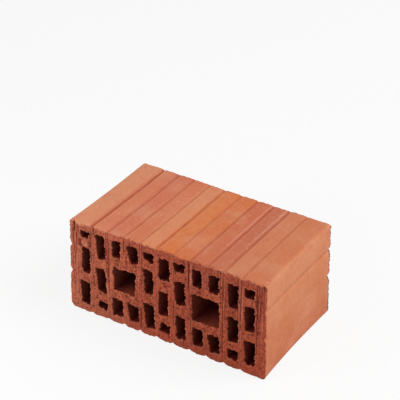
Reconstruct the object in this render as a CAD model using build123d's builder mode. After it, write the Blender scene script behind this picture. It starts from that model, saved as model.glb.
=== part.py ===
from build123d import *
import os

# A perforated clay brick in millimetres, lying on one ribbed long side with its two cut faces
# at -Y and +Y. The clay was extruded along Y, and the soft column then settled and bowed a
# little, so its skin is a loft through three sections while its holes run straight through.
# The origin is on the resting plane, under the middle of the brick.

# Overall size
length = 250.0
depth = 140.0
height = 120.0

# Ribbed skin: grooves part the long sides into ribs one pitch wide, with wider ribs at the ends.
# Those of the top are worn narrow and lie a little off the pitch.
pitch = 21.0
low_grooves = 10
low_groove_width = 11.0
low_groove_depth = 2.8
top_groove_places = (-94.1, -72.3, -51.8, -30.7, -10.2, 11.9, 33.3, 54.4, 74.3, 96.2)
top_groove_width = 6.0
top_groove_depth = 1.1
end_groove_heights = (51.0, 86.5)
end_groove_width = 14.0
end_groove_depth = 2.6
corner_radius = 5.0
slumped_corner_radius = 8.0

# How the soft clay settled: how far the upper corners of each cut face moved to the right and
# up, and how far the skin is drawn in half-way between the cut faces
front_left_settled = Vector(4.0, -2.8)
front_right_settled = Vector(-0.6, 0.0)
back_left_settled = Vector(5.3, -2.4)
back_right_settled = Vector(-1.6, -2.2)
left_waist = 0.8
right_waist = 1.6
top_waist = 0.5

# The ribs that it lies on are rubbed flat by this much, and the lower corners stand out so that
# the ends are at their full length where the corners' radii begin
rubbed_flat = 0.5
left_flare = 0.26
right_flare = 0.03

# Perforation: eleven columns of slots, one behind each rib, round two square grip holes
columns = 11
short_slot_on_top = (1, 5, 7, 11)
short_slot_below = (2, 6, 10)
grip_columns = ((3, 4), (8, 9))
shell = 10.5
slot_width = 12.0
slot_corner = 1.8
short_slot = 11.5
medium_slot = 21.5
long_slot = 30.5
web_by_short_slot = 11.5
web_by_grip = 11.5

# Worked-out places, as heights above the resting side
grip_width = pitch + slot_width
grip_height = height - 2 * (shell + medium_slot + web_by_grip)
short_centre = height - shell - short_slot / 2
middle_centre = height - shell - short_slot - web_by_short_slot - long_slot / 2
low_centre = shell + long_slot / 2
staggered_slots = ((short_centre, short_slot), (middle_centre, long_slot), (low_centre, long_slot))
medium_centre = shell + medium_slot / 2

# Worked-out places of the grooves, as shares of the way round from the lower left corner
low_shares = [0.5 + (k - (low_grooves - 1) / 2) * pitch / length for k in range(low_grooves)]
right_shares = [z / height for z in end_groove_heights]
top_shares = [0.5 - x / length for x in reversed(top_groove_places)]
left_shares = [1 - share for share in reversed(right_shares)]


def column_x(number):
    """The centre line of a column, counted from 1 at the left end."""
    return (number - (columns + 1) / 2) * pitch


def ribbed_side(start, end, start_trim, end_trim, shares, width, sink):
    """Draws one side of the outline. The flanks of a groove leave it smoothly and meet in a line."""
    along = (end - start).normalized()
    inward = Vector(-along.Y, along.X)
    reached = start + along * start_trim
    for share in shares:
        centre = start + (end - start) * share
        root = centre + inward * sink
        Line(reached, centre - along * width / 2)
        TangentArc(centre - along * width / 2, root, tangent=along)
        TangentArc(centre + along * width / 2, root, tangent=-along)
        reached = centre + along * width / 2
    Line(reached, end - along * end_trim)


def outline(y, left_settled, right_settled):
    """The section of the skin at a depth, drawn anticlockwise from its lower left corner."""
    middle = 1 - (2 * y / depth) ** 2
    left = left_waist * middle - length / 2
    right = length / 2 - right_waist * middle
    top = height - top_waist * middle
    corners = (
        Vector(left - left_flare, -rubbed_flat),
        Vector(right + right_flare, -rubbed_flat),
        Vector(right, top) + right_settled,
        Vector(left, top) + left_settled,
    )
    trims = (slumped_corner_radius, corner_radius, corner_radius, corner_radius)
    grooves = (
        (low_shares, low_groove_width, low_groove_depth),
        (right_shares, end_groove_width, end_groove_depth),
        (top_shares, top_groove_width, top_groove_depth),
        (left_shares, end_groove_width, end_groove_depth),
    )
    with BuildSketch(Plane.XZ.offset(-y)) as section:
        with BuildLine():
            for i in range(4):
                start, end, beyond = (corners[(i + k) % 4] for k in range(3))
                trim = trims[(i + 1) % 4]
                ribbed_side(start, end, trims[i], trim, *grooves[i])
                along = (end - start).normalized()
                TangentArc(end - along * trim, end + (beyond - end).normalized() * trim, tangent=along)
        make_face()
    return section.sketch.face()


with BuildPart() as brick:
    # Skin, from the front cut face to the back one
    front = outline(-depth / 2, front_left_settled, front_right_settled)
    halfway = outline(
        0,
        (front_left_settled + back_left_settled) / 2,
        (front_right_settled + back_right_settled) / 2,
    )
    back = outline(depth / 2, back_left_settled, back_right_settled)
    loft(sections=[front, halfway, back])
    split(bisect_by=Plane.XY)

    with BuildSketch(Plane.XZ):
        # Staggered columns: a short and two long slots, turned over in every other column
        for number in short_slot_on_top + short_slot_below:
            for centre, slot in staggered_slots:
                z = centre if number in short_slot_on_top else height - centre
                with Locations((column_x(number), z)):
                    RectangleRounded(slot_width, slot, slot_corner)

        # Grip holes, each two columns wide, with a medium slot above and below in both columns
        for pair in grip_columns:
            with Locations((sum(map(column_x, pair)) / 2, height / 2)):
                RectangleRounded(grip_width, grip_height, slot_corner)
            for number in pair:
                for z in (medium_centre, height - medium_centre):
                    with Locations((column_x(number), z)):
                        RectangleRounded(slot_width, medium_slot, slot_corner)
    extrude(amount=depth / 2, both=True, mode=Mode.SUBTRACT)

brick.part.label = "brick"
os.makedirs("parts", exist_ok=True)
export_step(brick.part, "parts/brick.step")
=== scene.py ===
import math
import random

import bpy
from mathutils import Matrix, Vector, noise
from mathutils.geometry import delaunay_2d_cdt
from mathutils.kdtree import KDTree


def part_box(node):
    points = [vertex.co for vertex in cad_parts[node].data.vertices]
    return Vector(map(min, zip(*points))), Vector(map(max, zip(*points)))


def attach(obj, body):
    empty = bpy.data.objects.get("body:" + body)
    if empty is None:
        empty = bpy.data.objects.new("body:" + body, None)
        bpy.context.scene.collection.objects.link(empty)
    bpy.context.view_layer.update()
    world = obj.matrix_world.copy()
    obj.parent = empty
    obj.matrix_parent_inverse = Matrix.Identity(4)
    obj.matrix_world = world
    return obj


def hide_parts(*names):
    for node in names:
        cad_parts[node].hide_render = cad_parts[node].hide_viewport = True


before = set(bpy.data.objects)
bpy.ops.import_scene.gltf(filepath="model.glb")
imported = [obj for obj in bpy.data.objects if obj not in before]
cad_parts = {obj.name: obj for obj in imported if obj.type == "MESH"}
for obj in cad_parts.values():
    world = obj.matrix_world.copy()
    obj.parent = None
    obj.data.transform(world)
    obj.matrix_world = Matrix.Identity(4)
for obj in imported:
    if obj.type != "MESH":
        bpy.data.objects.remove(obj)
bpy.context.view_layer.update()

# Shapes are worked out in millimetres, in the frame of the CAD model, and scaled as the mesh is made.
MM = 0.001
LOW, HIGH = ([v / MM for v in corner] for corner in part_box("brick"))
LENGTH = HIGH[0] - LOW[0]
DEPTH = HIGH[1] - LOW[1]
HEIGHT = HIGH[2] - LOW[2]

# Sides of the brick that were cut: the front one at -Y and the back one at +Y
FRONT, BACK = -1, 1

# Ribbed outline. The top's grooves, as (x, depth), are worn narrow, and some nearly away.
PITCH = 21.0
TOP_GROOVES = (
    (-94.1, 1.4),
    (-72.3, 0.8),
    (-51.8, 0.75),
    (-30.7, 0.7),
    (-10.2, 0.9),
    (11.9, 0.5),
    (33.3, 0.8),
    (54.4, 0.9),
    (74.3, 0.8),
    (96.2, 0.6),
)
TOP_GROOVE_REACH = 3.8
# How far a top groove's painted shade reaches from its middle, and where the painted highlight on the lit
# shoulder to its right is
GROOVE_SHADE_REACH = 2.9
HIGHLIGHT_BAND_PLACE, HIGHLIGHT_BAND_REACH = 2.6, 1.7
# Painted highlight lines along the top, where raised burrs catch the light
HIGHLIGHT_LINES = (51.7, 70.7)
HIGHLIGHT_LINE_REACH = 2.0
LOW_GROOVE_COUNT = 10
LOW_GROOVES = [(k - (LOW_GROOVE_COUNT - 1) / 2) * PITCH for k in range(LOW_GROOVE_COUNT)]
LOW_GROOVE_DEPTH = 2.5
LOW_GROOVE_REACH = 5.5
LOW_END_GROOVE, HIGH_END_GROOVE = 51.0, 86.5
END_GROOVE_DEPTH = 2.6
END_GROOVE_REACH = 7.0
# Of the low left, low right, top right and top left corner
CORNER_RADII = (8.0, 5.0, 4.5, 5.0)
# The right end was smeared, which left its high groove shallow and its low one only by the cut faces.
RIGHT_HIGH_GROOVE = 0.6
RIGHT_LOW_GROOVE = 0.12
RIGHT_LOW_GROOVE_END = 9.0

# Perforation, by column from the left. Heights of the slots are from the side that the brick lies on.
COLUMNS = 11
SHORT_ON_TOP = (1, 5, 7, 11)
SHORT_BELOW = (2, 6, 10)
GRIP_COLUMNS = ((3, 4), (8, 9))
SHELL = 10.5
SLOT_WIDTH = 12.0
SLOT_CORNER = 1.8
SHORT_SLOT, MEDIUM_SLOT, LONG_SLOT = 11.5, 21.5, 30.5
WEB_BY_SHORT_SLOT = 11.5
WEB_BY_GRIP = 11.5

# How far the soft column of clay settled, as (x, y, z), at the upper corners. Each is named by its end of
# the length, -1 for the left one, and its cut face. The skin is also drawn in half-way between the faces.
SETTLED = {
    (-1, FRONT): (4.0, 0.8, -2.8),
    (-1, BACK): (5.3, 0.0, -2.4),
    (1, FRONT): (-0.6, 0.0, 0.0),
    (1, BACK): (-1.6, -0.2, -2.8),
}
LEFT_WAIST, RIGHT_WAIST, TOP_WAIST = 0.8, 1.6, 0.5

# Mouths that the cutting wire pulled out of shape on the front face: how far the low left, low right,
# top right and top left corner of each moved, as (right, up).
FRONT_PULLED = {
    (1, "short"): ((1.4, 0.6), (-3.2, 0.0), (0.5, -1.0), (-0.8, -2.0)),
    (1, "middle"): ((2.6, -2.4), (1.2, -2.5), (0.6, -0.6), (1.4, -0.6)),
    (1, "far"): ((0.8, 0.1), (0.6, -1.8), (-0.4, 0.0), (-1.3, 0.7)),
    (2, "far"): ((2.2, -1.2), (0.1, 0.6), (-0.9, 0.4), (-1.0, -0.4)),
    (2, "middle"): ((1.9, 2.5), (1.6, -0.2), (0.0, 2.1), (-0.4, 0.7)),
    (2, "short"): ((1.1, 3.0), (2.1, -0.7), (2.9, -1.6), (3.0, 0.0)),
    (3, "upper"): ((0.5, 0.8), (-1.0, -0.4), (-0.5, 0.4), (-0.5, -0.5)),
    (4, "upper"): ((4.0, -1.6), (1.8, 2.0), (-0.6, 0.8), (-2.4, -0.8)),
    (3, "grip"): ((2.6, 1.2), (-2.6, 0.8), (-2.0, -1.6), (1.8, -1.8)),
    (3, "lower"): ((1.1, -1.2), (2.8, 0.0), (1.6, 0.4), (-0.3, -0.4)),
    (4, "lower"): ((2.4, -1.1), (2.2, 0.9), (1.6, 0.0), (-2.1, 1.1)),
    (5, "short"): ((0.0, 2.4), (-1.0, -1.8), (0.8, 0.0), (-2.4, -1.4)),
    (5, "middle"): ((0.8, -0.8), (0.0, 0.6), (-0.2, 0.2), (-0.8, -0.4)),
    (5, "far"): ((3.5, -1.9), (2.3, 0.9), (0.2, 1.2), (-1.9, -0.6)),
    (6, "far"): ((-1.0, 1.2), (1.9, 1.6), (0.2, -1.2), (0.0, -1.6)),
    (6, "middle"): ((-0.8, 0.4), (-0.3, 0.8), (-0.6, 0.9), (-0.3, 0.6)),
    (6, "short"): ((0.3, 0.6), (2.1, 0.6), (2.3, 0.0), (2.0, 1.8)),
    (7, "short"): ((0.0, -0.4), (-1.0, 0.6), (0.9, -1.4), (-3.2, -1.4)),
    (7, "middle"): ((1.2, -0.8), (1.2, 1.6), (0.3, -0.5), (-1.8, -1.8)),
    (7, "far"): ((2.3, -0.2), (2.0, 1.4), (0.7, -0.8), (0.7, -0.4)),
    (8, "upper"): ((0.8, -1.0), (-0.6, -1.2), (0.0, -0.4), (-0.2, -0.3)),
    (9, "upper"): ((-0.7, -0.6), (-1.0, -1.1), (0.7, -0.6), (-1.2, -1.0)),
    (8, "grip"): ((0.7, -0.9), (1.4, 0.6), (0.5, 0.5), (-0.6, 0.5)),
    (8, "lower"): ((1.9, -0.9), (2.2, 0.9), (1.5, 1.3), (0.4, 1.2)),
    (9, "lower"): ((1.6, -2.2), (1.2, 0.2), (0.0, 0.2), (-2.8, -0.2)),
    (10, "far"): ((1.3, -1.8), (0.4, -1.2), (-0.3, -3.0), (-0.6, -2.8)),
    (10, "middle"): ((1.0, -1.0), (0.9, 0.6), (1.5, 1.0), (-0.2, 1.2)),
    (10, "short"): ((0.4, 0.6), (0.7, -0.2), (1.5, 1.0), (-0.2, 1.8)),
    (11, "short"): ((-0.6, -1.6), (-0.8, -1.4), (-0.6, -1.0), (-1.2, -1.0)),
    (11, "middle"): ((0.4, -1.8), (-0.4, 0.2), (-0.5, 0.0), (-1.0, -1.2)),
    (11, "far"): ((1.2, 0.0), (0.2, 1.8), (1.0, 1.5), (-0.5, 1.0)),
}
# How far the mouths of a column lean sideways on the front face
FRONT_LEAN = {6: -1.7, 7: -2.5, 8: -2.2, 9: -1.5}

# Bands of the front face that the wire dragged: (middle, half width, strength)
FRONT_DRAGGED = (
    (-117.0, 4.0, 1.0),
    (-75.0, 3.5, 0.8),
    (-32.0, 3.5, 0.7),
    (10.5, 2.5, 0.3),
    (31.0, 2.5, 0.8),
    (71.0, 4.0, 0.8),
    (94.0, 2.5, 0.6),
    (118.0, 7.0, 0.5),
)

# Furrows that hard grains cut in the front face: (x, lower end, upper end, depth)
FRONT_FURROWS = (
    (-118.4, 102.0, 119.0, 2.6),
    (-116.2, 74.0, 105.0, 1.5),
    (-121.0, 60.0, 112.0, 0.8),
    (-112.2, 86.0, 99.0, 1.4),
    (-109.8, 84.0, 90.0, 1.2),
    (-98.2, 84.0, 108.0, 0.8),
    (-96.6, 68.0, 112.0, 1.0),
    (-93.0, 108.0, 119.0, 1.2),
    (-92.9, 37.0, 54.0, 1.7),
    (-76.8, 78.0, 118.0, 0.8),
    (-73.8, 58.0, 118.0, 0.8),
    (-72.6, 33.0, 74.0, 1.1),
    (-60.8, 78.0, 89.0, 1.0),
    (-53.2, 90.0, 118.0, 1.0),
    (-50.8, 96.0, 116.0, 0.7),
    (-31.0, 4.0, 34.0, 1.5),
    (-29.6, 62.0, 116.0, 0.9),
    (11.0, 20.0, 60.0, 0.7),
    (30.4, 81.0, 115.0, 1.9),
    (32.6, 20.0, 60.0, 0.8),
    (72.3, 10.0, 105.0, 0.8),
    (75.2, 60.0, 98.0, 0.7),
    (90.8, 62.0, 116.0, 0.8),
    (94.3, 50.0, 116.0, 0.9),
    (111.9, 60.0, 117.0, 0.6),
    (113.7, 27.0, 118.0, 1.0),
    (115.7, 60.0, 118.0, 0.7),
    (117.5, 84.0, 118.0, 0.8),
    (119.3, 78.0, 118.0, 0.6),
    (121.0, 84.0, 116.0, 0.5),
)

# The largest pits of the front face
FRONT_PITS = (
    (-91.1, 30.8),
    (-89.3, 27.8),
    (-84.6, 34.3),
    (-83.4, 30.8),
    (-79.8, 30.8),
    (-91.0, 20.6),
    (-108.0, 4.8),
    (-97.7, 7.0),
    (-102.4, 4.8),
    (-90.6, 96.5),
    (-90.3, 90.5),
    (-64.0, 36.7),
    (-59.0, 37.2),
    (-66.5, 41.0),
    (-54.5, 41.5),
    (-3.6, 75.4),
    (-1.8, 73.4),
    (3.4, 75.6),
    (42.8, 42.7),
    (47.6, 41.8),
    (54.7, 42.7),
    (58.2, 43.2),
    (78.5, 70.2),
    (82.1, 68.8),
    (86.9, 68.2),
    (84.0, 72.0),
    (86.9, 30.8),
    (89.8, 29.4),
    (40.4, 7.5),
    (76.7, 8.0),
    (90.4, 8.6),
    (116.6, 73.4),
)

# Lumps of smeared clay on the front face: (x, height, half width, half height, rise)
FRONT_LUMPS = (
    (-104.5, 92.0, 6.5, 5.8, 2.8),
    (-27.0, 101.5, 5.0, 4.0, 1.2),
    (-43.0, 42.0, 6.0, 3.5, 1.2),
    (0.0, 68.0, 5.0, 5.0, 0.8),
    (-84.0, 62.0, 5.0, 5.0, 0.7),
)

# The same on the back face
BACK_DRAGGED = ((-60.0, 6.0, 0.7), (15.0, 5.0, 0.6), (108.0, 9.0, 1.0))
BACK_FURROWS = ((-61.0, 20.0, 80.0, 1.0), (31.5, 40.0, 112.0, 1.2), (111.0, 30.0, 108.0, 1.0))

# Bites out of the right end's rear edge: (height, half height, depth, how much painted shade the bite gets)
REAR_BITES = (
    (111.0, 4.0, 0.2, 0.5),
    (101.0, 3.0, 0.3, 0.4),
    (86.5, 2.8, 1.0, 0.9),
    (82.0, 3.0, 0.3, 0.9),
    (69.0, 2.4, 1.7, 0.4),
    (62.0, 4.0, 0.2, 0.6),
    (51.0, 2.8, 1.0, 0.9),
    (47.0, 3.0, 0.0, 0.9),
    (41.0, 2.2, 0.2, 0.4),
    (28.0, 2.6, 0.1, 0.8),
)

# How deep the pull on a mouth, the lean of a column and the sinking of a cut face reach into the brick
PULL_REACH = 26.0
LEAN_REACH = 60.0
SINK_REACH = 8.0
# How far the top edges are worn back, at most
RIM_ROUNDING = 1.3

# Distances between points along the outline and along the mouths of the holes
OUTLINE_STEP = 1.05
MOUTH_STEP = 0.85
# Distances from each cut face at which the skin and the walls of the holes have a ring of points
SKIN_RINGS = (0.0, 0.9, 2.0, 3.6, 6.0, 9.5, 14.0, 21.0, 29.0, 37.0, 46.0, 56.0)
BORE_RINGS = (0.0, 0.9, 2.4, 5.5, 18.0)
# Distances between the points of a cut face's grid, across and up
GRID = {FRONT: (0.98, 1.2), BACK: (1.35, 1.6)}

# How many pits each cut face has, their radii, and how far from its middle the widest one can be felt
PITS = {FRONT: 1300, BACK: 700}
PIT_RADII = (0.5, 0.6, 0.7, 0.8, 1.1)
PIT_SEARCH = 1.5
# How many points a pit has round it, and the size of those that are listed
PIT_POINTS = 6
LARGE_PIT_RADIUS, LARGE_PIT_DEPTH = 0.8, 1.8
# A furrow is a chain of pits: their radius, their distance, and how many points each has beside it
FURROW_RADIUS, FURROW_STEP, FURROW_POINTS = 0.6, 0.9, 2
# How far pits keep from the mouths, from the ends of the face, and from its foot and top
PIT_TO_MOUTH, PIT_TO_END, PIT_TO_EDGE = 0.8, 2.0, 2.5
# How far the rough clay of a web reaches up and down from a hole, and how far past the hole's sides
WEB_REACH, WEB_OVERLAP = 13.0, 1.5
# How far the middle of a pit, a point round it and a point of the grid keep from the nearest mouth
PIT_CLEARANCE = 0.7
PIT_RING_CLEARANCE = 0.4
GRID_CLEARANCE = 0.6
# Points closer than this count as one when a cut face is filled.
SAME_PLACE = 1e-6
# Faces that meet at more than this angle meet in a sharp edge.
SHARP_ANGLE = math.radians(50)

# Camera, from the photograph's perspective
AZIMUTH, ELEVATION, ROLL = math.radians(32.34), math.radians(32.14), math.radians(-0.21)
DISTANCE = 1.550
FOCAL_PIXELS = 1423.0
IMAGE_PIXELS = 400.0
AIM = Vector((0.0, -0.001, 0.060))
AIM_PIXEL = (198.6, 264.9)
SENSOR = 36.0


def column_x(number):
    """The centre line of a column of slots, counted from 1 at the left end."""
    return (number - (COLUMNS + 1) / 2) * PITCH


def slots():
    """Every hole, as {(column, row): (x, z, width, height)}.

    The rows are short, middle and far, counted from the short slot's side, or grip, lower and upper.
    """
    short = HEIGHT - SHELL - SHORT_SLOT / 2
    middle = HEIGHT - SHELL - SHORT_SLOT - WEB_BY_SHORT_SLOT - LONG_SLOT / 2
    far = SHELL + LONG_SLOT / 2
    rows = (("short", short, SHORT_SLOT), ("middle", middle, LONG_SLOT), ("far", far, LONG_SLOT))
    found = {}
    for number in SHORT_ON_TOP + SHORT_BELOW:
        for row, z, tall in rows:
            z = z if number in SHORT_ON_TOP else HEIGHT - z
            found[number, row] = (column_x(number), z, SLOT_WIDTH, tall)
    low = SHELL + MEDIUM_SLOT / 2
    grip_height = HEIGHT - 2 * (SHELL + MEDIUM_SLOT + WEB_BY_GRIP)
    for pair in GRIP_COLUMNS:
        x = (column_x(pair[0]) + column_x(pair[1])) / 2
        found[pair[0], "grip"] = (x, HEIGHT / 2, PITCH + SLOT_WIDTH, grip_height)
        for number in pair:
            found[number, "lower"] = (column_x(number), low, SLOT_WIDTH, MEDIUM_SLOT)
            found[number, "upper"] = (column_x(number), HEIGHT - low, SLOT_WIDTH, MEDIUM_SLOT)
    return found


def wave(x, y, z, size, seed):
    """Smooth noise from -1 to 1, with features about size millimetres across. Every use has its seed."""
    return noise.noise(Vector((x / size + 3.7 * seed, y / size - 5.3 * seed, z / size + 7.9 * seed)))


def fade(value, start, end):
    """0 at start, 1 at end, and smooth between them."""
    t = min(1.0, max(0.0, (value - start) / (end - start)))
    return t * t * (3 - 2 * t)


def spread(start, end, step, exact=()):
    """Values from start to end about a step apart, less both ends, that go through the exact ones."""
    count = max(1, round(abs(end - start) / step))
    values = [start + (end - start) * i / count for i in range(1, count)]
    for value in exact:
        if min(start, end) < value < max(start, end):
            nearest = min(range(len(values)), key=lambda i: abs(values[i] - value))
            values[nearest] = value
    return values


# Normals of a rectangle's sides, anticlockwise from the low one
SIDE_NORMALS = ((0.0, -1.0), (1.0, 0.0), (0.0, 1.0), (-1.0, 0.0))


def rounded_rectangle(x0, z0, x1, z1, radii, step, exact=((), (), (), ())):
    """[(x, z, normal x, normal z)] anticlockwise from the low left corner, with normals pointing out.

    Each side has points at its exact places.
    """
    corners = ((x0, z0, 1, 1), (x1, z0, -1, 1), (x1, z1, -1, -1), (x0, z1, 1, -1))
    points = []
    for i, (corner, radius) in enumerate(zip(corners, radii)):
        cx, cz = corner[0] + corner[2] * radius, corner[1] + corner[3] * radius
        count = max(2, round(radius * math.pi / 2 / step))
        for j in range(count + 1):
            angle = math.pi + (i + j / count) * math.pi / 2
            nx, nz = math.cos(angle), math.sin(angle)
            points.append((cx + radius * nx, cz + radius * nz, nx, nz))
        following, next_radius = corners[(i + 1) % 4], radii[(i + 1) % 4]
        nx, nz = SIDE_NORMALS[i]
        if nx == 0.0:
            end = following[0] + following[2] * next_radius
            points += [(x, corner[1], nx, nz) for x in spread(points[-1][0], end, step, exact[i])]
        else:
            end = following[1] + following[3] * next_radius
            points += [(corner[0], z, nx, nz) for z in spread(points[-1][1], end, step, exact[i])]
    return points


def groove(along, centre, reach, depth):
    """The depth of a groove at a place along a face. Its flanks leave the face smoothly."""
    return depth * max(0.0, 1 - abs(along - centre) / reach) ** 2


def worn_groove(along, centre, reach, depth):
    """The same with a round bottom, as the grooves of the top are."""
    return depth * (1 - fade(abs(along - centre), 0.0, 0.8 * reach))


def top_shade_and_highlight(x, y):
    """How much painted shade (above 0) or painted highlight (below 0) the top's skin has in its grooves and
    beside them.
    """
    dark, pale = 0.0, 0.0
    for centre, depth in TOP_GROOVES:
        worn = 1 + 0.5 * wave(centre, y, 0, 9, 12)
        away = x - centre + 0.8 * wave(centre, y, 0, 4, 13)
        dark = max(dark, 0.9 * worn * depth * (1 - fade(abs(away), 0.3, GROOVE_SHADE_REACH)))
        band = 1 - fade(abs(away - HIGHLIGHT_BAND_PLACE), 0.3, HIGHLIGHT_BAND_REACH)
        pale = max(pale, 0.24 * depth * band)
    for centre in HIGHLIGHT_LINES:
        glint = 0.55 + 0.4 * wave(centre, y, 0, 8, 15)
        pale = max(pale, glint * (1 - fade(abs(x - centre), 0.4, HIGHLIGHT_LINE_REACH)) * fade(y, -65, 30))
    return dark - pale


def outline_point(point, y):
    """A point of the ribbed outline at a depth into the brick, with its grooves and the skin's own waves."""
    x, z, nx, nz = point
    to_cut = DEPTH / 2 - abs(y)
    inset = 0.0
    if nz == 1.0:
        for centre, depth in TOP_GROOVES:
            depth *= 1 + 0.25 * wave(centre, y, 0, 17, 4)
            centre += 0.4 * wave(centre, y, 0, 60, 6) + 0.25 * wave(centre, y, 0, 7, 7)
            inset += worn_groove(x, centre, TOP_GROOVE_REACH, depth)
    elif nz == -1.0:
        inset = sum(groove(x, centre, LOW_GROOVE_REACH, LOW_GROOVE_DEPTH) for centre in LOW_GROOVES)
    elif abs(nx) == 1.0:
        high, low = 1.0, 1.0
        if nx > 0:
            high = RIGHT_HIGH_GROOVE
            low = RIGHT_LOW_GROOVE + (1 - RIGHT_LOW_GROOVE) * (1 - fade(to_cut, 1, RIGHT_LOW_GROOVE_END))
        inset = high * groove(z, HIGH_END_GROOVE, END_GROOVE_REACH, END_GROOVE_DEPTH)
        inset += low * groove(z, LOW_END_GROOVE, END_GROOVE_REACH, END_GROOVE_DEPTH)
    inset += 0.18 + 0.12 * wave(x, y, z, 34, 1) + 0.06 * wave(x, y / 3, z, 6, 2)
    return x - nx * inset, z - nz * inset


def settle(x, y, z):
    """Moves a point as the brick bowed and leaned in drying, always inside its box."""
    across, along, up = x / (LENGTH / 2), y / (DEPTH / 2), z / HEIGHT
    middle = 1 - along * along
    x -= middle * across * (RIGHT_WAIST if across > 0 else LEFT_WAIST)
    z -= middle * up * TOP_WAIST
    for (end, side), shift in SETTLED.items():
        share = (1 + end * across) / 2 * (1 + side * along) / 2 * up
        x, y, z = x + share * shift[0], y + share * shift[1], z + share * shift[2]
    return x, y, z


class CutFace:
    """One of the two faces that the wire cut, with the marks that it has."""

    def __init__(
        self, side, seed, dragged, furrows, pulled=None, lean=None, large_pits=(), lumps=(), bites=()
    ):
        self.side, self.seed = side, seed
        self.dragged, self.furrows = dragged, furrows
        self.pulled, self.lean = pulled or {}, lean or {}
        self.large_pits, self.lumps, self.bites = large_pits, lumps, bites
        self.dice = random.Random(seed)
        self.pits = []
        self.pit_tree = None

    def corner_shifts(self, key):
        """How far the four corners of a mouth moved, from the low left one."""
        if key in self.pulled:
            return self.pulled[key]
        return tuple((self.dice.uniform(-0.7, 0.7), self.dice.uniform(-0.7, 0.7)) for _ in range(4))

    def web(self, x, z, holes):
        """1 on the rough webs between the slots of a column, and 0 on the walls between columns."""
        best = 0.0
        for cx, cz, wide, tall in holes.values():
            if abs(x - cx) < wide / 2 + WEB_OVERLAP and tall / 2 <= abs(z - cz) < tall / 2 + WEB_REACH:
                inner = SHELL - 1 < z < HEIGHT - SHELL + 1
                best = max(best, (1 - fade(abs(x - cx), wide / 2 - 1, wide / 2 + WEB_OVERLAP)) * inner)
        return best

    def scatter_pits(self, holes, count):
        """Small holes that the wire tore grains from, most of them in the webs and beside the mouths.

        Each is (x, z, radius, depth, number of points round it).
        """
        self.pits += [(x, z, LARGE_PIT_RADIUS, LARGE_PIT_DEPTH, PIT_POINTS) for x, z in self.large_pits]
        while len(self.pits) < count:
            x = self.dice.uniform(-LENGTH / 2 + PIT_TO_END, LENGTH / 2 - PIT_TO_END)
            z = self.dice.uniform(PIT_TO_EDGE, HEIGHT - PIT_TO_EDGE)
            away = min(
                max(abs(x - cx) - wide / 2, abs(z - cz) - tall / 2)
                for cx, cz, wide, tall in holes.values()
            )
            crowd = 0.18 + 0.5 * self.web(x, z, holes) + 0.5 * max(0.0, wave(x, 0, z, 22, self.seed + 5))
            crowd += 0.35 * (1 - fade(away, 1.5, 4.0)) + 0.4 * fade(z, HEIGHT - 8.0, HEIGHT - 5.0)
            if away < PIT_TO_MOUTH or self.dice.random() > crowd:
                continue
            radius = self.dice.choice(PIT_RADII)
            self.pits.append((x, z, radius, radius * self.dice.uniform(1.0, 1.8), PIT_POINTS))
        for x, low, high, depth in self.furrows:
            z = low
            while z < high:
                faint = fade(z, low, low + 4) * (1 - fade(z, high - 2, high))
                wobble = 0.5 * wave(x, 0, z, 16, self.seed + 6)
                deepest = depth * faint * self.dice.uniform(0.7, 1.1)
                self.pits.append((x + wobble, z, FURROW_RADIUS, deepest, FURROW_POINTS))
                z += FURROW_STEP
        self.pit_tree = KDTree(len(self.pits))
        for i, (x, z, *_) in enumerate(self.pits):
            self.pit_tree.insert((x, z, 0), i)
        self.pit_tree.balance()

    def pit_depth(self, x, z):
        """How far a pit or a furrow goes into the face at a point."""
        depth = 0.0
        for _, i, distance in self.pit_tree.find_range((x, z, 0), PIT_SEARCH):
            _, _, radius, deepest, _ = self.pits[i]
            depth = max(depth, deepest * (1 - fade(distance, 0.2 * radius, 1.25 * radius)))
        return depth

    def drag(self, x, z):
        """How hard the wire dragged furrows into the face at a point."""
        band = 0.3
        for centre, half_width, strength in self.dragged:
            band += strength * (1 - fade(abs(x - centre), 0.5 * half_width, 1.4 * half_width))
        return band * (0.35 + 0.65 * fade(z, 15, 85))

    def rim(self, x):
        """How far below the top edge the wire dragged the skin over onto the face."""
        smeared = 2.3 + 1.4 * fade(-x, 40, 90) + 2.6 * fade(-x, 100, 110) * (1 - fade(-x, 115.6, 117))
        torn = 2.6 * wave(x, 0, 0, 7, self.seed + 8) + 2.0 * wave(x, 0, 0, 2.4, self.seed + 9)
        return max(1.0, smeared + torn)

    def rounding(self, x):
        """How far the top edge is worn back: less at the left end, where the skin still overhangs."""
        return RIM_ROUNDING * (0.3 + 0.7 * fade(x, -70, 0))

    def near_lumps(self, x, z):
        """For each lump, how far a point is from its middle, with 1 at its edge, and how far it rises."""
        return [
            (math.hypot((x - cx) / half_x, (z - cz) / half_z), rise)
            for cx, cz, half_x, half_z, rise in self.lumps
        ]

    def lump(self, x, z):
        """1 on the crown of a high lump, and 0 off the lumps."""
        shares = [min(1.0, rise / 2) * (1 - fade(away, 0.5, 1.0)) for away, rise in self.near_lumps(x, z)]
        return max(shares, default=0.0)

    def relief(self, x, z, rough_web):
        """How far the face lies inside the brick's box at a point."""
        streaks = wave(x, 0, z / 30, 1.9, self.seed) + 0.7 * wave(x, 0, z / 22, 1.3, self.seed + 1)
        coarse = (0.3 + 0.5 * rough_web) * wave(x, 0, z, 3.4, self.seed + 2)
        fine = (0.25 + 0.25 * rough_web) * wave(x, 0, z, 1.9, self.seed + 3)
        swell = 0.3 * wave(x, 0, z, 45, self.seed + 4)
        worn = self.rounding(x) * (1 - fade(HEIGHT - z, 0.0, self.rim(x))) ** 2
        depth = 0.65 + 0.5 * self.drag(x, z) * streaks + coarse + (fine + swell) + worn
        for away, rise in self.near_lumps(x, z):
            depth -= rise * (1 - fade(away, 0.15, 1.0))
            depth += 0.7 * rise * fade(away, 0.6, 1.0) * (1 - fade(away, 1.0, 1.5))
        return max(0.05, depth)


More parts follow.
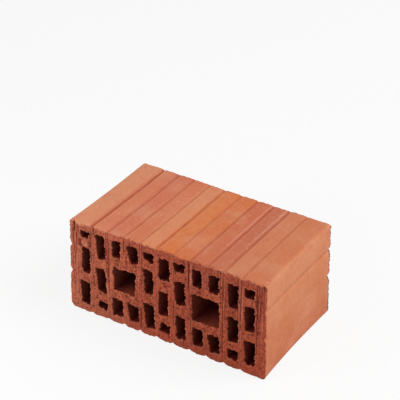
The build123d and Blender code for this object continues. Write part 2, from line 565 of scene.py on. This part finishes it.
class Mesh:
    """Points, faces and the masks that the material reads, all by point."""

    # Some masks paint shade in the holes, pits, chips and grooves, and highlights on lips, lumps and rib
    # shoulders.
    MASKS = ("cut", "bore", "web", "pit", "drag", "lip", "end", "dark", "pale")

    def __init__(self):
        self.points, self.faces = [], []
        self.masks = {name: [] for name in self.MASKS}

    def add(self, x, y, z, **masks):
        """Adds a point, settled with the rest of the brick, and returns its number."""
        self.points.append(settle(x, y, z))
        for name, values in self.masks.items():
            values.append(masks.get(name, 0.0))
        return len(self.points) - 1

    def tube(self, rings, outward):
        """Joins closed rings of points into a wall that faces out of the rings or into them."""
        count = len(rings[0])
        for ring, following in zip(rings, rings[1:]):
            for i in range(count):
                j = (i + 1) % count
                quad = (ring[i], ring[j], following[j], following[i])
                self.faces.append(quad[::-1] if outward else quad)

    def to_object(self, name):
        """Makes the mesh an object of the scene, with each mask as an attribute."""
        mesh = bpy.data.meshes.new(name)
        scaled = [(x * MM, y * MM, z * MM) for x, y, z in self.points]
        mesh.from_pydata(scaled, [], self.faces)
        for mask, values in self.masks.items():
            layer = mesh.attributes.new(mask, "FLOAT", "POINT")
            layer.data.foreach_set("value", values)
        mesh.validate()
        mesh.shade_smooth()
        mesh.set_sharp_from_angle(angle=SHARP_ANGLE)
        piece = bpy.data.objects.new(name, mesh)
        bpy.context.scene.collection.objects.link(piece)
        return piece


def both_ways(depths):
    """Rings from the front cut face to the back one, as (side, depth below that side's cut face, y)."""
    front = [(FRONT, depth, -DEPTH / 2 + depth) for depth in depths]
    back = [(BACK, depth, DEPTH / 2 - depth) for depth in reversed(depths)]
    return front + [(0, DEPTH / 2, 0.0)] + back


def skin_shade_and_highlight(point, y):
    """How much painted shade (above 0) or painted highlight (below 0) the skin has at a point, in and beside
    its grooves.
    """
    x, z, nx, nz = point
    if nx > 0.9:
        return 0.5 * (1 - fade(abs(z - HIGH_END_GROOVE), 0.4, 1.8))
    return top_shade_and_highlight(x, y) if nz > 0.9 else 0.0


def skin_wear(face, point, depth):
    """How the skin wore by a cut face: how far it is torn inwards and sunk, and how much painted shade its
    chips and bites get.
    """
    x, z, nx, nz = point
    seed = face.seed + 11
    torn = 0.3 + 0.8 * wave(x, 0, z, 2.3, seed) + 0.6 * wave(x, 0, z, 6.5, seed + 1)
    torn = max(0.0, torn) * (1 - fade(depth, 0.0, 3.0))
    sunk = 0.5 + 0.5 * wave(x, 0, z, 3.0, seed + 2) + 0.3 * wave(x, 0, z, 9, seed + 3)
    sunk += face.rounding(x) * fade(nz, 0.2, 0.9)
    sunk -= 0.25 * fade(nx, 0.2, 0.9)
    # Painted shade at the chips, and more in the bites of the right end's rear edge
    if nz > 0.9:
        chip_shade = 0.45 * fade(wave(x, 0, z, 4.2, seed + 10), 0.1, 0.4) * (1 - fade(depth, 0.3, 1.6))
    else:
        chip_shade = 0.7 * fade(wave(x, 0, z, 4.5, seed + 9), 0.0, 0.3) * (1 - fade(depth, 0.4, 1.8))
        chip_shade *= 1 - fade(nz, 0.0, 0.4)
    if nx > 0.5 and face.bites:
        chip_shade += (0.42 + 0.6 * wave(x, 0, z, 4.0, seed + 10)) * (1 - fade(depth, 0.8, 3.8))
        for height, half_height, bite, bite_shade in face.bites:
            share = 1 - fade(abs(z - height), 0.2 * half_height, half_height)
            sunk += bite * share
            torn += 0.5 * share * (1 - fade(depth, 0.0, 3.0))
            chip_shade += bite_shade * share * (1 - fade(depth, 0.5, 3.5))
    return torn, max(0.1, sunk), min(1.0, max(0.0, chip_shade))


def outline_rings(mesh, faces):
    """The ribbed skin. Returns its rings of points and its mouth on each face."""
    ends = (LOW_END_GROOVE, HIGH_END_GROOVE)
    exact = (LOW_GROOVES, ends, [centre for centre, _ in TOP_GROOVES], ends)
    loop = rounded_rectangle(-LENGTH / 2, 0.0, LENGTH / 2, HEIGHT, CORNER_RADII, OUTLINE_STEP, exact)
    mouths = {FRONT: [], BACK: []}
    rings = []
    for side, depth, y in both_ways(SKIN_RINGS):
        ring = []
        face = faces.get(side)
        for point in loop:
            nx, nz = point[2:]
            px, pz = outline_point(point, y)
            shade_and_highlight = skin_shade_and_highlight(point, y)
            cut, chip_shade, sunk = 0.0, 0.0, 0.0
            if face:
                torn, sunk, chip_shade = skin_wear(face, point, depth)
                px, pz = px - nx * torn, pz - nz * torn
                cut = (1 - fade(depth, 0.0, 1.4)) * (1 - fade(nz, 0.2, 0.8))
                if depth == 0.0:
                    mouths[side].append((px, pz))
            py = y - side * sunk * math.exp(-depth / SINK_REACH)
            # Painted shade in the grooves and at chips and bites, and painted highlight beside the grooves
            masks = {"cut": cut, "pit": chip_shade, "end": fade(abs(nx), 0.4, 0.95)}
            ring.append(mesh.add(px, py, pz, dark=max(shade_and_highlight, 0.0), pale=max(-shade_and_highlight, 0.0), **masks))
        rings.append(ring)
    mesh.tube(rings, outward=True)
    return rings, mouths


def pulled_by(corners, right, up):
    """How far a point of a mouth moved, as (x, z), when the corners moved by these.

    right and up say where the point is, as shares of the mouth's width and height.
    """
    low_left, low_right, top_right, top_left = corners
    moved = []
    for axis in (0, 1):
        low = low_left[axis] * (1 - right) + low_right[axis] * right
        top = top_left[axis] * (1 - right) + top_right[axis] * right
        moved.append(low * (1 - up) + top * up)
    return moved


def mouth_wear(face, point, depth):
    """How the wall of a hole wore by a cut face: how far it is torn out and sunk, and its raised burr, which
    gets a painted highlight.
    """
    x, z, nx, nz = point
    seed = face.seed + 31
    ragged = 0.35 + 1.5 * wave(x, 0, z, 2.1, seed) + 1.6 * wave(x, 0, z, 4.4, seed + 1)
    ragged *= 0.8 + 1.1 * wave(x, 0, z, 11, seed + 3)
    ragged *= 1 - fade(depth, 0.2, 4.5)
    # The burr's painted highlight is strongest on the mouth's right and low sides, which face the light
    lit_side = 0.25 + 0.75 * max(nx, -0.6 * nz, 0.0)
    lip = (1 - fade(depth, 0.0, 1.0)) * lit_side * fade(wave(x, 0, z, 3.4, seed + 5), -0.05, 0.3)
    sunk = 0.45 + 0.45 * wave(x, 0, z, 2.6, seed + 2) - 0.5 * lip
    return ragged, sunk, lip


def hole_shade_mask(row, u, nx, nz, depth):
    """Painted shade on a hole's wall, deeper in: less on its left side, and on the floor of a grip hole near
    the mouths, where light reaches it.
    """
    bore = fade(depth, 0.0, 1.6) * (1 - 0.26 * fade(-nx, 0.3, 0.9))
    if row == "grip":
        floor = fade(-nz, 0.3, 0.9) * fade(u, -12.0, 10.0) * (1 - fade(depth, 2.0, 30.0))
        bore *= 0.88 - 0.6 * floor
    return bore


def slot_rings(mesh, faces, key, hole):
    """The wall of one hole. Returns its rings of points and its mouth on each face."""
    number, row = key
    cx, cz, wide, tall = hole
    loop = rounded_rectangle(-wide / 2, -tall / 2, wide / 2, tall / 2, [SLOT_CORNER] * 4, MOUTH_STEP)
    shifts = {side: face.corner_shifts(key) for side, face in faces.items()}
    mouths = {FRONT: [], BACK: []}
    rings = []
    for side, depth, y in both_ways(BORE_RINGS):
        ring = []
        face = faces.get(side)
        for u, v, nx, nz in loop:
            x, z = cx + u, cz + v
            grain = 0.22 * wave(x * 1.6, 0, z * 1.6, 3.0, 21) + 0.25 * wave(x, depth, z, 14, 22)
            px, pz = x + nx * grain, z + nz * grain
            lip, sunk = 0.0, 0.0
            if face:
                pull = 1 - fade(depth, 0.0, PULL_REACH)
                right, up = pulled_by(shifts[side], u / wide + 0.5, v / tall + 0.5)
                px, pz = px + pull * right, pz + pull * up
                px += face.lean.get(number, 0.0) * (1 - fade(depth, 0.0, LEAN_REACH))
                ragged, sunk, lip = mouth_wear(face, (x, z, nx, nz), depth)
                px, pz = px + nx * ragged, pz + nz * ragged
                sunk = max(0.05, sunk + face.relief(px, pz, 0.5))
                if depth == 0.0:
                    mouths[side].append((px, pz))
            py = y - side * sunk * math.exp(-depth / SINK_REACH)
            # Painted shade deeper in the hole, and a painted highlight on the burr at its mouth
            bore = hole_shade_mask(row, u, nx, nz, depth)
            ring.append(mesh.add(px, py, pz, cut=1.0, bore=bore, web=0.3, lip=lip))
        rings.append(ring)
    mesh.tube(rings, outward=False)
    return rings, mouths


def inside(loop, x, z):
    """Whether a point is inside a closed loop of (x, z) points."""
    found = False
    x1, z1 = loop[-1]
    for x2, z2 in loop:
        if (z1 > z) != (z2 > z) and x < (x2 - x1) * (z - z1) / (z2 - z1) + x1:
            found = not found
        x1, z1 = x2, z2
    return found


def face_points(face, loops):
    """Points between the mouths of a cut face: rows with a little disorder, and a ring round each pit."""
    edge = KDTree(sum(len(loop) for loop in loops))
    for loop in loops:
        for x, z in loop:
            edge.insert((x, z, 0), 0)
    edge.balance()
    boxes = []
    for loop in loops[1:]:
        xs, zs = [p[0] for p in loop], [p[1] for p in loop]
        boxes.append((min(xs), max(xs), min(zs), max(zs), loop))

    def free(x, z, clear):
        """Whether a point is on the face's clay and at least this far from every mouth."""
        if edge.find((x, z, 0))[2] < clear:
            return False
        if not inside(loops[0], x, z):
            return False
        return not any(x0 < x < x1 and z0 < z < z1 and inside(loop, x, z) for x0, x1, z0, z1, loop in boxes)

    found = []
    for x, z, radius, _, around in face.pits:
        if free(x, z, PIT_CLEARANCE):
            found.append((x, z))
            for k in range(around):
                angle = k * 2 * math.pi / around
                px, pz = x + radius * math.cos(angle), z + radius * math.sin(angle)
                if free(px, pz, PIT_RING_CLEARANCE):
                    found.append((px, pz))
    step_x, step_z = GRID[face.side]
    rows = round(HEIGHT / step_z)
    per_row = round(LENGTH / step_x)
    for i in range(rows):
        for j in range(per_row):
            x = -LENGTH / 2 + (j + 0.25 + 0.5 * (i % 2) + face.dice.uniform(-0.15, 0.15)) * step_x
            z = (i + 0.5 + face.dice.uniform(-0.25, 0.25)) * step_z
            near = face.pit_tree.find_range((x, z, 0), 1.3)
            if any(distance < 1.2 * face.pits[k][2] for _, k, distance in near):
                continue
            if free(x, z, GRID_CLEARANCE):
                found.append((x, z))
    return found


def fill_face(mesh, face, holes, mouths, rings):
    """The cut face itself, from the outline's mouth to the mouths of the holes."""
    loops = [mouth[face.side] for mouth in mouths]
    ring = 0 if face.side == FRONT else -1
    known = [index for each in rings for index in each[ring]]
    flat = [point for loop in loops for point in loop]
    edges, start = [], 0
    for loop in loops:
        count = len(loop)
        edges += [(start + i, start + (i + 1) % count) for i in range(count)]
        start += count
    owner = [k for k, loop in enumerate(loops) for _ in loop]
    for x, z in face_points(face, loops):
        rough_web = face.web(x, z, holes)
        pit = face.pit_depth(x, z)
        depth = face.relief(x, z, rough_web) + pit
        rim = face.rim(x)
        smooth = face.lump(x, z)
        # The pit mask paints shade in the pits and furrows, darker where they go deeper
        masks = {"web": rough_web * (1 - smooth), "pit": fade(pit, 0.15, 1.5), "drag": face.drag(x, z)}
        masks["cut"] = fade(HEIGHT - z, 0.6 * rim, 1.15 * rim)
        # Painted highlight on the crowns of the lumps
        masks["lip"] = 0.3 * smooth
        known.append(mesh.add(x, face.side * (DEPTH / 2 - depth), z, **masks))
        flat.append((x, z))
        owner.append(None)
    found = delaunay_2d_cdt([Vector(point) for point in flat], edges, [], 0, SAME_PLACE)
    places, triangles, sources = found[0], found[2], found[3]
    index = []
    for place, source in zip(places, sources):
        if source:
            index.append(source[0])
        else:
            x, z = place
            index.append(len(flat))
            known.append(mesh.add(x, face.side * (DEPTH / 2 - 1.0), z, cut=1.0))
            flat.append((x, z))
            owner.append(None)
    for triangle in triangles:
        corners = [index[i] for i in triangle]
        owners = {owner[i] for i in corners}
        if len(owners) == 1 and None not in owners:
            x = sum(flat[i][0] for i in corners) / 3
            z = sum(flat[i][1] for i in corners) / 3
            within = inside(loops[owners.pop()], x, z)
            if within != (owner[corners[0]] == 0):
                continue
        (x1, z1), (x2, z2), (x3, z3) = (flat[i] for i in corners)
        clockwise = (x2 - x1) * (z3 - z1) < (x3 - x1) * (z2 - z1)
        if clockwise == (face.side == FRONT):
            corners.reverse()
        mesh.faces.append([known[i] for i in corners])


def make_brick():
    """The whole brick: its skin, the walls of its holes and its two cut faces, in one mesh."""
    holes = slots()
    front = CutFace(
        FRONT,
        seed=5,
        dragged=FRONT_DRAGGED,
        furrows=FRONT_FURROWS,
        pulled=FRONT_PULLED,
        lean=FRONT_LEAN,
        large_pits=FRONT_PITS,
        lumps=FRONT_LUMPS,
    )
    back = CutFace(BACK, seed=19, dragged=BACK_DRAGGED, furrows=BACK_FURROWS, bites=REAR_BITES)
    faces = {FRONT: front, BACK: back}
    mesh = Mesh()
    rings, mouths = outline_rings(mesh, faces)
    all_rings, all_mouths = [rings], [mouths]
    for key, hole in holes.items():
        rings, mouths = slot_rings(mesh, faces, key, hole)
        all_rings.append(rings)
        all_mouths.append(mouths)
    for face in (front, back):
        face.scatter_pits(holes, PITS[face.side])
        fill_face(mesh, face, holes, all_mouths, all_rings)
    return mesh.to_object("fired_brick")


def srgb(red, green, blue):
    """A colour as it shows on screen, from 0 to 255, in the linear values that shaders take."""
    values = (v / 255 for v in (red, green, blue))
    return tuple(v / 12.92 if v <= 0.04045 else ((v + 0.055) / 1.055) ** 2.4 for v in values) + (1.0,)


class Nodes:
    """Short calls for building a node tree. A value is a constant or another node's output."""

    # Sockets of a Mix node that is set to colours
    FIRST, SECOND, RESULT = 6, 7, 2

    def __init__(self, owner):
        owner.use_nodes = True
        self.tree = owner.node_tree
        self.tree.nodes.clear()

    def new(self, kind, **settings):
        node = self.tree.nodes.new(kind)
        for name, value in settings.items():
            setattr(node, name, value)
        return node

    def link(self, source, target):
        self.tree.links.new(source, target)

    def fill(self, sockets, values):
        """Gives each socket its value."""
        for socket, value in zip(sockets, values):
            if isinstance(value, (int, float, tuple)):
                socket.default_value = value
            else:
                self.link(value, socket)

    def mask(self, name):
        """One of the masks that the mesh carries."""
        return self.new("ShaderNodeAttribute", attribute_name=name).outputs["Fac"]

    def scaled(self, vector, scale):
        node = self.new("ShaderNodeMapping")
        node.inputs["Scale"].default_value = scale
        self.link(vector, node.inputs["Vector"])
        return node.outputs["Vector"]

    def noise(self, vector, scale, detail=3.0, roughness=0.5):
        node = self.new("ShaderNodeTexNoise")
        node.inputs["Scale"].default_value = scale
        node.inputs["Detail"].default_value = detail
        node.inputs["Roughness"].default_value = roughness
        self.link(vector, node.inputs["Vector"])
        return node.outputs["Fac"]

    def ramp(self, value, stops):
        """A colour that changes from stop to stop, each (place, colour)."""
        node = self.new("ShaderNodeValToRGB")
        elements = node.color_ramp.elements
        while len(elements) < len(stops):
            elements.new(1.0)
        for element, (position, colour) in zip(elements, stops):
            element.position = position
            element.color = colour
        self.link(value, node.inputs["Fac"])
        return node.outputs["Color"]

    def math(self, operation, *values):
        node = self.new("ShaderNodeMath", operation=operation)
        self.fill(node.inputs, values)
        return node.outputs["Value"]

    def between(self, value, low, high):
        """0 up to low, 1 from high, and smooth between them."""
        node = self.new("ShaderNodeMapRange", interpolation_type="SMOOTHSTEP")
        node.inputs["From Min"].default_value = low
        node.inputs["From Max"].default_value = high
        self.link(value, node.inputs["Value"])
        return node.outputs["Result"]

    def mix(self, share, first, second):
        node = self.new("ShaderNodeMix", data_type="RGBA", blend_type="MIX")
        sockets = (node.inputs["Factor"], node.inputs[self.FIRST], node.inputs[self.SECOND])
        self.fill(sockets, (share, first, second))
        return node.outputs[self.RESULT]

    def tint(self, base, mask, strength, colour):
        """Lays a colour over the base as strongly as a mask says, times a strength."""
        return self.mix(self.math("MULTIPLY", mask, strength), base, colour)

    def blend_shaders(self, share, first, second):
        node = self.new("ShaderNodeMixShader")
        self.fill(node.inputs, (share, first, second))
        return node.outputs["Shader"]


# Colours of the skin's ribs on the top, from left to right
RIB_COLOURS = (
    srgb(217, 140, 104),
    srgb(212, 124, 91),
    srgb(208, 117, 88),
    srgb(211, 120, 86),
    srgb(218, 137, 96),
    srgb(215, 118, 64),
    srgb(210, 116, 71),
    srgb(201, 109, 77),
    srgb(195, 109, 80),
    srgb(206, 124, 87),
    srgb(204, 120, 81),
)

# Colours of the clay inside, at places from the left end to the right one: paler at the left end.
CLAY_COLOURS = (
    (0.0, (193, 109, 80)),
    (0.06, (185, 101, 76)),
    (0.13, (173, 90, 64)),
    (0.22, (187, 99, 71)),
    (0.36, (167, 75, 52)),
    (0.54, (166, 71, 46)),
    (0.64, (156, 66, 44)),
    (0.8, (160, 67, 42)),
    (1.0, (167, 69, 43)),
)
CLAY_GAINS = (0.94, 1.06)

# Colours of the ends, as (share of the height, colour): the brick stands darker near its foot.
END_STOPS = (
    (0.0, srgb(190, 107, 71)),
    (0.45, srgb(202, 121, 80)),
    (1.0, srgb(211, 136, 96)),
)

# Marks on the skin
PALE_CLOUD = srgb(216, 144, 108)
RED_CLOUD = srgb(194, 108, 78)
EXTRUSION_LINE = srgb(189, 104, 76)
PALE_FLECK = srgb(231, 168, 134)
DARK_FLECK = srgb(176, 92, 62)
# Painted shade in the grooves
GROOVE_SHADE_COLOUR = srgb(158, 62, 28)
# Painted highlight beside the grooves and on burrs
RIDGE_HIGHLIGHT_COLOUR = srgb(228, 172, 148)
# Painted shade on chipped and bitten edges
CHIP_SHADE_COLOUR = srgb(92, 30, 14)

# Marks on the cut faces
FURROW = srgb(122, 38, 18)
RIDGE = srgb(204, 120, 94)
ROUGH_DARK, ROUGH_PALE = srgb(134, 49, 28), srgb(202, 103, 64)
SPECK = srgb(92, 27, 12)
# Painted shade in the pits
PIT_SHADE_COLOUR = srgb(66, 10, 2)
# Painted highlight on raised lips and lumps
RAISED_HIGHLIGHT_COLOUR = srgb(216, 142, 116)
# Painted shade deeper in the holes
HOLE_SHADE_COLOUR = srgb(87, 9, 1)

# Half the width over which one rib's colour turns into the next one's
RIB_BLEND = 0.9

# The floor's own colour, how much of its look is plain white, and the soft light's strength
WHITE = (1.0, 1.0, 1.0, 1.0)
FLOOR_GREY = (0.86, 0.86, 0.86, 1.0)
FLOOR_WHITENESS = 0.85
SOFT_STRENGTH = 0.36


def along_length(x):
    """A place along X as a share of the brick's length."""
    return (x + LENGTH / 2) / LENGTH


def rib_stops():
    """Stops of a ramp along X that gives each rib its own colour."""
    stops, start = [], 0.0
    for colour, (centre, _) in zip(RIB_COLOURS, TOP_GROOVES):
        stops += [(start, colour), (along_length(centre - RIB_BLEND), colour)]
        start = along_length(centre + RIB_BLEND)
    return stops + [(start, RIB_COLOURS[-1])]


def clay_stops(gain):
    """Stops of a ramp along X of the clay's colour, made darker or lighter."""
    return [(place, srgb(*(gain * v for v in colour))) for place, colour in CLAY_COLOURS]


def skin_colour(n, place, across, up, lines, flecks):
    """A colour for each rib, cloudy patches, faint lines along the way it was extruded, painted shade in the
    grooves and on chipped edges, and painted highlights beside the grooves.
    """
    skin = n.mix(n.mask("end"), n.ramp(across, rib_stops()), n.ramp(up, END_STOPS))
    skin = n.tint(skin, n.between(n.noise(place, 28.0, 4.0, 0.55), 0.42, 0.75), 0.6, PALE_CLOUD)
    skin = n.tint(skin, n.between(n.noise(place, 60.0, 4.0, 0.6), 0.5, 0.8), 0.5, RED_CLOUD)
    skin = n.tint(skin, n.between(lines, 0.45, 0.8), 0.22, EXTRUSION_LINE)
    skin = n.tint(skin, n.between(flecks, 0.6, 0.7), 0.4, PALE_FLECK)
    skin = n.tint(skin, n.between(flecks, 0.4, 0.3), 0.35, DARK_FLECK)
    # Painted shade in the grooves, then a painted highlight on the ribs' lit shoulders and burrs, broken up
    # by pale crumbs
    skin = n.tint(skin, n.mask("dark"), 0.6, GROOVE_SHADE_COLOUR)
    crumbs = n.between(n.noise(place, 480.0, 2.0), 0.46, 0.62)
    skin = n.tint(skin, n.mask("pale"), n.math("ADD", n.math("MULTIPLY", crumbs, 0.5), 0.5), RIDGE_HIGHLIGHT_COLOUR)
    # Painted shade on the chipped and bitten edges
    return n.mix(n.mask("pit"), skin, CHIP_SHADE_COLOUR)


def cut_colour(n, place, across, streaks, patches):
    """Redder clay, streaks down the way the wire went, rough orange webs, painted shade in the pits and
    holes, and painted highlights on the mouths' lips and the lumps.
    """
    cloudy = n.between(n.noise(place, 55.0, 4.0, 0.6), 0.3, 0.7)
    body = n.mix(cloudy, *(n.ramp(across, clay_stops(gain)) for gain in CLAY_GAINS))
    drag = n.mask("drag")
    body = n.tint(body, n.between(streaks, 0.46, 0.6), drag, FURROW)
    body = n.tint(body, n.math("MULTIPLY", n.between(streaks, 0.5, 0.36), drag), 0.85, RIDGE)
    rough = n.mix(n.between(patches, 0.38, 0.62), ROUGH_DARK, ROUGH_PALE)
    body = n.mix(n.math("ADD", n.math("MULTIPLY", n.mask("web"), 0.28), 0.18), body, rough)
    body = n.tint(body, n.between(n.noise(place, 560.0, 2.0, 0.5), 0.59, 0.65), 0.8, SPECK)
    # Painted shade in the pits, painted highlight on the lips and lumps, and painted shade deeper in the
    # holes
    body = n.mix(n.mask("pit"), body, PIT_SHADE_COLOUR)
    body = n.tint(body, n.mask("lip"), 0.75, RAISED_HIGHLIGHT_COLOUR)
    return n.mix(n.mask("bore"), body, HOLE_SHADE_COLOUR)


def clay_material():
    material = bpy.data.materials.new("fired_clay")
    n = Nodes(material)
    place = n.new("ShaderNodeTexCoord").outputs["Object"]
    apart = n.new("ShaderNodeSeparateXYZ")
    n.link(place, apart.inputs[0])
    across = n.math("DIVIDE", n.math("ADD", apart.outputs["X"], LENGTH / 2 * MM), LENGTH * MM)
    up = n.math("DIVIDE", apart.outputs["Z"], HEIGHT * MM)
    lines = n.noise(n.scaled(place, (420.0, 14.0, 420.0)), 1.0, 3.0, 0.6)
    flecks = n.noise(place, 330.0, 3.0, 0.55)
    streaks = n.noise(n.scaled(place, (700.0, 700.0, 20.0)), 1.0, 3.0, 0.65)
    patches = n.noise(place, 210.0, 4.0, 0.65)
    grain = n.noise(place, 1500.0, 3.0, 0.6)

    cut = n.mask("cut")
    skin = skin_colour(n, place, across, up, lines, flecks)
    body = cut_colour(n, place, across, streaks, patches)
    shader = n.new("ShaderNodeBsdfPrincipled")
    n.link(n.mix(cut, skin, body), shader.inputs["Base Color"])
    n.link(n.math("ADD", n.math("MULTIPLY", grain, 0.2), 0.74), shader.inputs["Roughness"])
    shader.inputs["Specular IOR Level"].default_value = 0.3

    # Sand grain everywhere, with the streaks on the cut faces and the extrusion lines on the skin
    cut_height = n.math("ADD", streaks, n.math("MULTIPLY", patches, 0.6))
    skin_height = n.math("ADD", n.math("MULTIPLY", lines, 0.15), n.math("MULTIPLY", flecks, 0.5))
    height = n.math("ADD", n.mix(cut, skin_height, cut_height), n.math("MULTIPLY", grain, 0.25))
    bump = n.new("ShaderNodeBump")
    bump.inputs["Strength"].default_value = 0.6
    bump.inputs["Distance"].default_value = 0.0006
    n.link(height, bump.inputs["Height"])
    n.link(bump.outputs["Normal"], shader.inputs["Normal"])
    n.link(shader.outputs["BSDF"], n.new("ShaderNodeOutputMaterial").inputs["Surface"])
    return material


def seen_by_eye(n):
    """1 for rays that come straight from the camera, or by a reflection or through glass."""
    path = n.new("ShaderNodeLightPath")
    straight = n.math("MAXIMUM", path.outputs["Is Camera Ray"], path.outputs["Is Glossy Ray"])
    return n.math("MAXIMUM", straight, path.outputs["Is Transmission Ray"])


def make_floor():
    """A wide floor that looks nearly white, and darkens a little in the brick's shadow."""
    size = 12.0
    corners = [(-size, -size, 0.0), (size, -size, 0.0), (size, size, 0.0), (-size, size, 0.0)]
    mesh = bpy.data.meshes.new("floor")
    mesh.from_pydata(corners, [], [(0, 1, 2, 3)])
    floor = bpy.data.objects.new("floor", mesh)
    bpy.context.scene.collection.objects.link(floor)
    material = bpy.data.materials.new("white_floor")
    n = Nodes(material)
    matt = n.new("ShaderNodeBsdfDiffuse")
    matt.inputs["Color"].default_value = FLOOR_GREY
    white = n.new("ShaderNodeEmission")
    white.inputs["Color"].default_value = WHITE
    share = n.math("MULTIPLY", seen_by_eye(n), FLOOR_WHITENESS)
    surface = n.blend_shaders(share, matt.outputs["BSDF"], white.outputs["Emission"])
    n.link(surface, n.new("ShaderNodeOutputMaterial").inputs["Surface"])
    mesh.materials.append(material)


def make_world():
    """Soft light from all round, in front of a white background."""
    world = bpy.data.worlds.new("studio")
    bpy.context.scene.world = world
    n = Nodes(world)
    soft, seen = (n.new("ShaderNodeBackground") for _ in range(2))
    for background, strength in ((soft, SOFT_STRENGTH), (seen, 1.0)):
        background.inputs["Color"].default_value = WHITE
        background.inputs["Strength"].default_value = strength
    surface = n.blend_shaders(seen_by_eye(n), soft.outputs["Background"], seen.outputs["Background"])
    n.link(surface, n.new("ShaderNodeOutputWorld").inputs["Surface"])


def lamp(name, place, size, watts):
    """A square soft box that points at the brick."""
    light = bpy.data.lights.new(name, "AREA")
    light.size = size
    light.energy = watts
    holder = bpy.data.objects.new(name, light)
    bpy.context.scene.collection.objects.link(holder)
    holder.location = place
    holder.rotation_euler = (AIM - Vector(place)).to_track_quat("-Z", "Y").to_euler()


def make_lights():
    lamp("key", (1.5, 0.5, 1.8), 1.4, 38.0)
    lamp("fill", (-0.5, -0.75, 0.35), 0.5, 3.8)


def make_camera():
    """Stands where the photograph was taken, turned so that AIM falls on AIM_PIXEL."""
    level_reach = math.cos(ELEVATION)
    ahead = Vector(
        (-math.sin(AZIMUTH) * level_reach, math.cos(AZIMUTH) * level_reach, -math.sin(ELEVATION))
    )
    level = ahead.cross(Vector((0, 0, 1))).normalized()
    upright = level.cross(ahead)
    right = math.cos(ROLL) * level + math.sin(ROLL) * upright
    up = -math.sin(ROLL) * level + math.cos(ROLL) * upright
    shift_right = (AIM_PIXEL[0] - IMAGE_PIXELS / 2) / FOCAL_PIXELS
    shift_up = (IMAGE_PIXELS / 2 - AIM_PIXEL[1]) / FOCAL_PIXELS
    data = bpy.data.cameras.new("camera")
    data.sensor_width = SENSOR
    data.lens = FOCAL_PIXELS / IMAGE_PIXELS * SENSOR
    camera = bpy.data.objects.new("camera", data)
    bpy.context.scene.collection.objects.link(camera)
    place = AIM - (ahead + shift_right * right + shift_up * up) * DISTANCE
    camera.matrix_world = Matrix.Translation(place) @ Matrix((right, up, -ahead)).transposed().to_4x4()
    bpy.context.scene.camera = camera


bpy.context.scene.view_settings.view_transform = "Standard"
make_camera()
make_floor()
make_world()
make_lights()

brick = make_brick()
brick.data.materials.append(clay_material())
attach(brick, "root")
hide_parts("brick")
